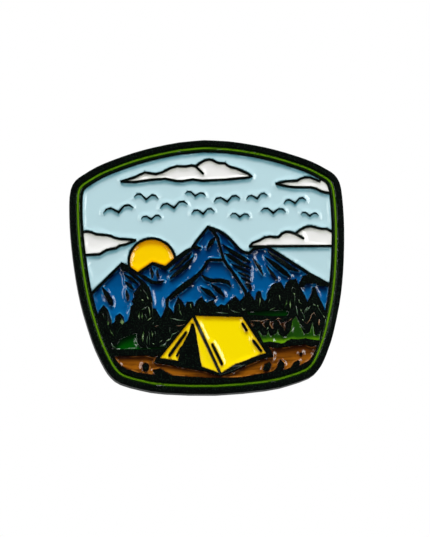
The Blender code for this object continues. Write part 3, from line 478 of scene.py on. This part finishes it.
dim_runs = [
    (0.14, (-9.6, -3.1), (-9.25, -3.6), (-8.95, -4.0)),
    (0.2, (-10.0, -3.1), (-9.9, -3.2), (-9.8, -3.3)),
    (0.3, (-9.95, -5.9), (-9.5, -5.75), (-9.05, -5.4)),
    (0.12, (-8.5, -4.9), (-8.4, -5.9), (-8.4, -7.0)), (0.2, (-9.5, -6.5), (-9.35, -6.9), (-9.2, -7.3)),
    (0.14, (-8.52, -8.0), (-8.4, -7.85), (-8.3, -7.7)),
    (0.2, (-9.3, -9.6), (-9.38, -10.2), (-9.35, -10.8)),
    (0.14, (-9.05, -9.0), (-9.0, -10.0), (-9.05, -10.9)),
    (0.14, (-8.2, -9.0), (-8.15, -9.3), (-8.15, -9.6)),
    (0.16, (-9.5, -11.0), (-9.3, -11.35), (-8.9, -11.4)),
    (0.5, (-7.6, -11.1), (-7.0, -11.0), (-6.7, -10.6)),
    (0.24, (-6.1, -10.1), (-5.75, -9.5), (-4.8, -9.05)),
    (0.14, (-4.65, -5.2), (-4.62, -5.7), (-4.6, -6.2)),
    (0.26, (-6.0, -7.2), (-5.0, -7.5), (-3.8, -7.6)),
    (0.14, (-6.1, -8.6), (-6.12, -9.0), (-6.08, -9.4)),
    (0.14, (-15.35, -6.3), (-15.3, -6.6), (-15.25, -6.9)),
    (0.14, (-14.25, -7.0), (-14.22, -7.4), (-14.25, -7.8)),
    (0.3, (-14.4, -10.4), (-14.2, -10.9), (-13.6, -11.3)),
    (0.14, (11.35, -4.0), (11.55, -3.35), (12.1, -3.65)),
    (0.16, (11.8, -4.5), (11.78, -5.1), (11.72, -5.8)),
    (0.14, (15.0, -6.35), (15.35, -6.95), (15.75, -7.6)),
    (0.3, (11.9, -6.0), (12.0, -6.9), (12.1, -7.4)), (0.3, (13.5, -6.2), (13.2, -6.7), (12.95, -7.2)),
    (0.3, (13.9, -6.1), (13.6, -6.5), (13.2, -7.0)), (0.3, (16.0, -8.0), (15.95, -8.4), (15.9, -8.9)),
    (0.3, (12.3, -8.6), (12.6, -9.1), (13.0, -9.4)), (0.16, (8.0, -5.5), (8.1, -5.2), (8.25, -4.9)),
    (0.2, (12.7, -6.9), (12.95, -7.5), (13.05, -8.0)), (0.24, (0.5, -6.6), (1.2, -6.7), (2.2, -6.75)),
    (0.2, (2.6, -6.3), (3.1, -6.6), (3.9, -6.7)), (0.14, (-1.8, -6.0), (-1.75, -6.3), (-1.8, -6.6)),
    (0.14, (2.3, -5.5), (2.3, -5.8), (2.4, -6.1)),
]
brown_runs = [
    (0.16, (-8.2, -8.35), (-7.95, -8.25), (-7.65, -8.2)),
    (0.16, (-5.15, -8.25), (-4.8, -8.35), (-4.0, -8.15)),
    (0.14, (5.25, -7.95), (6.2, -7.95), (6.9, -8.05), (7.5, -7.8), (8.05, -7.8)),
    (0.17, (8.12, -8.05), (8.05, -8.5), (8.3, -9.0), (8.55, -9.15)),
    (0.14, (8.9, -7.85), (9.3, -7.68), (9.7, -7.85)), (0.15, (9.35, -8.05), (9.5, -8.5), (9.85, -9.0)),
    (0.14, (6.95, -8.3), (7.15, -8.7), (7.45, -8.95)),
    (0.15, (12.95, -8.3), (13.3, -8.58), (13.7, -8.1), (14.05, -7.3), (14.4, -7.05), (14.68, -7.6)),
    (0.28, (15.1, -8.0), (15.02, -8.45), (15.0, -8.85)),
    (0.14, (10.6, -8.2), (10.95, -7.95), (11.2, -7.75)), (0.14, (5.3, -8.3), (5.6, -8.6), (5.9, -8.5)),
    (0.15, (10.1, -8.4), (10.0, -9.0), (10.1, -9.5)),
]
pale_green = caught_colour("caught_pale_green", (0.045, 0.11, 0.03), (0.17, 0.27, 0.11))
dark_green = caught_colour("caught_dark_green", (0.004, 0.022, 0.004), (0.02, 0.075, 0.02))
brown = caught_colour("caught_brown", (0.06, 0.028, 0.006), (0.25, 0.13, 0.05))
caught_enamel("pale_green_runs", pale_green, pale_runs)
caught_enamel("dark_green_runs", dark_green, dim_runs)
caught_enamel("brown_runs", brown, brown_runs)


# Two needle posts are turned from steel wire and soldered into shallow seats in the back. The groove near
# the point is where the clutch's jaws bite, and the solder has run into a dull fillet round the foot.
POST_UP = sum(corner.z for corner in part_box("post_left")) / 2


def turned(name, node, profile, steps=64):
    """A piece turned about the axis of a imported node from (radius, height) points given in millimetres."""
    low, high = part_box(node)
    middle = ((low.x + high.x) / 2, 0, POST_UP)
    bpy.ops.object.select_all(action="DESELECT")
    bpy.ops.mesh.primitive_circle_add(vertices=len(profile), fill_type="NOTHING")
    piece = bpy.context.object
    piece.name = name
    for vert, (radius, height) in zip(piece.data.vertices, profile):
        vert.co = (middle[0] + radius * MM, height * MM, middle[2])
    bpy.ops.object.mode_set(mode="EDIT")
    bpy.ops.mesh.select_all(action="SELECT")
    bpy.ops.mesh.spin(steps=steps, angle=math.tau, center=middle, axis=(0, 1, 0))
    bpy.ops.mesh.select_all(action="SELECT")
    bpy.ops.mesh.remove_doubles(threshold=0.0005 * MM)
    bpy.ops.mesh.normals_make_consistent(inside=False)
    bpy.ops.object.mode_set(mode="OBJECT")
    bpy.ops.object.shade_smooth_by_angle(angle=math.radians(38))
    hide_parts(node)
    return piece


def rounded(corners, radius, steps=4):
    """The profile with each corner rounded off to about this radius, where its sides are long enough."""
    points = [Vector(corner) for corner in corners]
    line = []
    for before, here, after in zip(points[-1:] + points[:-1], points, points[1:] + points[:1]):
        room = min(radius, (before - here).length / 2, (after - here).length / 2)
        first = here + (before - here).normalized() * room
        last = here + (after - here).normalized() * room
        if here.x < 0.001:
            line.append(here)
            continue
        for step in range(steps + 1):
            t = step / steps
            line.append(first * (1 - t)**2 + here * (2 * t * (1 - t)) + last * t**2)
    return line


def metal(name, dark, bright, scale, low, high, bump_height=0.01):
    """A metal whose tone and polish drift a little over its surface."""
    material, shader = new_material(name, roughness=low, metallic=1.0)
    wires = Wire(material.node_tree)
    spot, _ = place_of(wires)
    drift = speckle(wires, spot, scale, 3)
    wire_up(material, shader, "Base Color", drift.ramp(0.3, 0.7).colour(dark, bright))
    wire_up(material, shader, "Roughness", low + (high - low) * speckle(wires, spot, scale * 2.3))
    bump = wires.node("Bump", {}, {"Strength": 0.4, "Distance": bump_height * MM, "Height": drift})
    wire_up(material, shader, "Normal", bump)
    return material


steel = metal("bright_steel", (0.50, 0.51, 0.53), (0.66, 0.67, 0.69), 1500, 0.14, 0.30)
tin = metal("solder", (0.26, 0.27, 0.28), (0.44, 0.45, 0.46), 2300, 0.30, 0.55, 0.06)
POST = [(0, 8.2), (0.09, 8.2), (0.55, 6.9), (0.55, 6.3), (0.45, 6.1), (0.45, 5.9), (0.55, 5.7),
        (0.55, -0.23), (0, -0.23)]
FILLET = [(0.57, 0.45), (0.62, 0.44), (0.70, 0.36), (0.80, 0.26), (0.95, 0.17), (1.12, 0.10), (1.30, 0.05),
          (1.40, 0.02), (1.45, -0.05), (1.45, -0.23), (0.57, -0.23)]
for side in ("left", "right"):
    post = turned("needle_post_" + side, "post_" + side, rounded(POST, 0.12))
    post.data.materials.append(steel)
    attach(post, "pin")
    fillet = turned("solder_fillet_" + side, "solder_" + side, FILLET)
    fillet.data.materials.append(tin)
    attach(fillet, "pin")


# Each butterfly clutch is pressed from thin brass in two pieces: a round disc with a rolled rim and a bead,
# and, staked to it, a spring strip folded up on both sides, whose two wings end in jaws that close on the
# post. The disc's profile gives distances from the post's axis and the plate's back, as the post's does.
brass = metal("brass", (0.62, 0.40, 0.13), (0.83, 0.60, 0.26), 900, 0.18, 0.34)
DISC = [(0.67, 2.82), (3.0, 2.82), (3.15, 2.90), (3.35, 2.93), (3.55, 2.90), (3.70, 2.82), (4.65, 2.82),
        (5.05, 2.94), (5.28, 3.27), (5.28, 3.50), (5.36, 3.57), (5.44, 3.60), (5.52, 3.57), (5.6, 3.50),
        (5.6, 3.05), (5.4, 2.68), (5.0, 2.5), (3.75, 2.5), (3.55, 2.58), (3.35, 2.61), (3.15, 2.58),
        (2.95, 2.5), (0.67, 2.5)]


def pressed(node, name, body, crease):
    """A packed pressing with its bends made smooth and its cut edges softened."""
    piece = copy_of(node, name)
    bpy.ops.object.mode_set(mode="EDIT")
    bpy.ops.mesh.select_all(action="DESELECT")
    bpy.ops.mesh.select_mode(type="EDGE")
    bpy.ops.mesh.edges_select_sharp(sharpness=math.radians(60))
    if crease:
        bpy.ops.transform.edge_crease(value=crease)
        bpy.ops.object.mode_set(mode="OBJECT")
        bpy.ops.object.modifier_add(type="SUBSURF")
        piece.modifiers[0].levels = 3
        bpy.ops.object.modifier_apply(modifier=piece.modifiers[0].name)
    else:
        bpy.ops.mesh.bevel(offset=0.05 * MM, segments=2, clamp_overlap=True)
        bpy.ops.object.mode_set(mode="OBJECT")
    bpy.ops.object.shade_smooth_by_angle(angle=math.radians(40))
    piece.data.materials.append(brass)
    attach(piece, body)
    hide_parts(node)


for side in ("left", "right"):
    disc = turned("pressed_disc_" + side, "clutch_disc_" + side, DISC, 96)
    disc.data.materials.append(brass)
    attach(disc, "clutch_" + side)
    pressed("clutch_clip_" + side, "spring_clip_" + side, "clutch_" + side, 0)
    for which in ("outer", "inner"):
        pressed(f"clutch_wing_{side}_{which}", f"wing_leaf_{side}_{which}", f"wing_{side}_{which}", 0.75)


# The room: a white floor well below the pin and a pale surround, with a dark part that the flat of the
# enamel mirrors. Two tall strip lights stand in front, left and right of it, and a large soft light hangs
# above and another behind.
TO_CAMERA = Vector((-0.102, -0.973, -0.208))
MIRRORED = Vector((0.102, -0.973, 0.208))


def aimed(place):
    """The turn that points a camera or a light at the pin from a place round it."""
    return (-Vector(place)).to_track_quat("-Z", "Y").to_euler()


def hang_light(name, side, height, away, wide, tall, glow):
    """An area light at an angle to the right and up from straight in front, as bright as glow all over."""
    side, height = math.radians(side), math.radians(height)
    level = math.cos(height) * away
    place = (math.sin(side) * level, -math.cos(side) * level, math.sin(height) * away)
    bpy.ops.object.light_add(type="AREA", location=place, rotation=aimed(place))
    light = bpy.context.object
    light.name = name
    light.data.shape = "RECTANGLE"
    light.data.size = wide
    light.data.size_y = tall
    light.data.energy = glow * math.pi * wide * tall
    light.visible_camera = False


hang_light("strip_right", 25, 12, 0.60, 0.10, 0.22, 9)
hang_light("strip_left", -12, 12, 0.60, 0.07, 0.16, 6)
hang_light("softbox_above", 8, 62, 0.60, 0.50, 0.40, 7.9)
hang_light("softbox_behind", 150, 30, 0.60, 0.40, 0.40, 4)

room = bpy.data.worlds.new("room")
bpy.context.scene.world = room
room.use_nodes = True
wires = Wire(room.node_tree)
look = wires.node("TexCoord", {}, {}, "Generated")
toward = wires.node("VectorMath", {"operation": "DOT_PRODUCT"}, {0: look, 1: MIRRORED}, "Value")
seen = wires.node("LightPath", {}, {}, "Is Camera Ray")
strength = wires.node("Mix", {}, {0: seen, 2: toward.ramp(0.65, 0.94, 0.35, 0.01), 3: 1.0})
surround = room.node_tree.nodes["Background"]
surround.inputs["Color"].default_value = (1, 1, 1, 1)
wire_up(room, surround, "Strength", strength)
bpy.context.scene.view_settings.view_transform = "Standard"

bpy.ops.mesh.primitive_circle_add(vertices=64, radius=4, fill_type="NGON", location=(0, 0, -0.25))
floor = bpy.context.object
floor.name = "floor"
white, paint = new_material("floor_white", roughness=0.6)
paint.inputs["Base Color"].default_value = (0.8, 0.8, 0.8, 1)
paint.inputs["Emission Color"].default_value = (1, 1, 1, 1)
paint.inputs["Emission Strength"].default_value = 0.85
floor.data.materials.append(white)
floor.visible_glossy = False
floor.visible_diffuse = False


# The camera looks at the face from a little to the left and a little below, and is turned slightly. It
# stands well back with a long lens, so the pin is hardly in perspective.
AWAY = 0.35
TALL_VIEW = 73.97 * MM  # how much of the pin's height and its surround the frame takes in
ROLL = math.radians(-2.85)
FACE_CENTRE = Vector((0, PLATE_FACE, 0))
bpy.ops.object.camera_add(location=FACE_CENTRE + TO_CAMERA.normalized() * AWAY)
camera = bpy.context.object
camera.rotation_euler = (aimed(TO_CAMERA).to_matrix() @ Matrix.Rotation(ROLL, 3, "Z")).to_euler()
camera.data.lens = camera.data.sensor_width * AWAY / TALL_VIEW
camera.data.shift_x = 0.0092
camera.data.shift_y = -0.0046
camera.data.clip_start = 0.01
bpy.context.scene.camera = camera
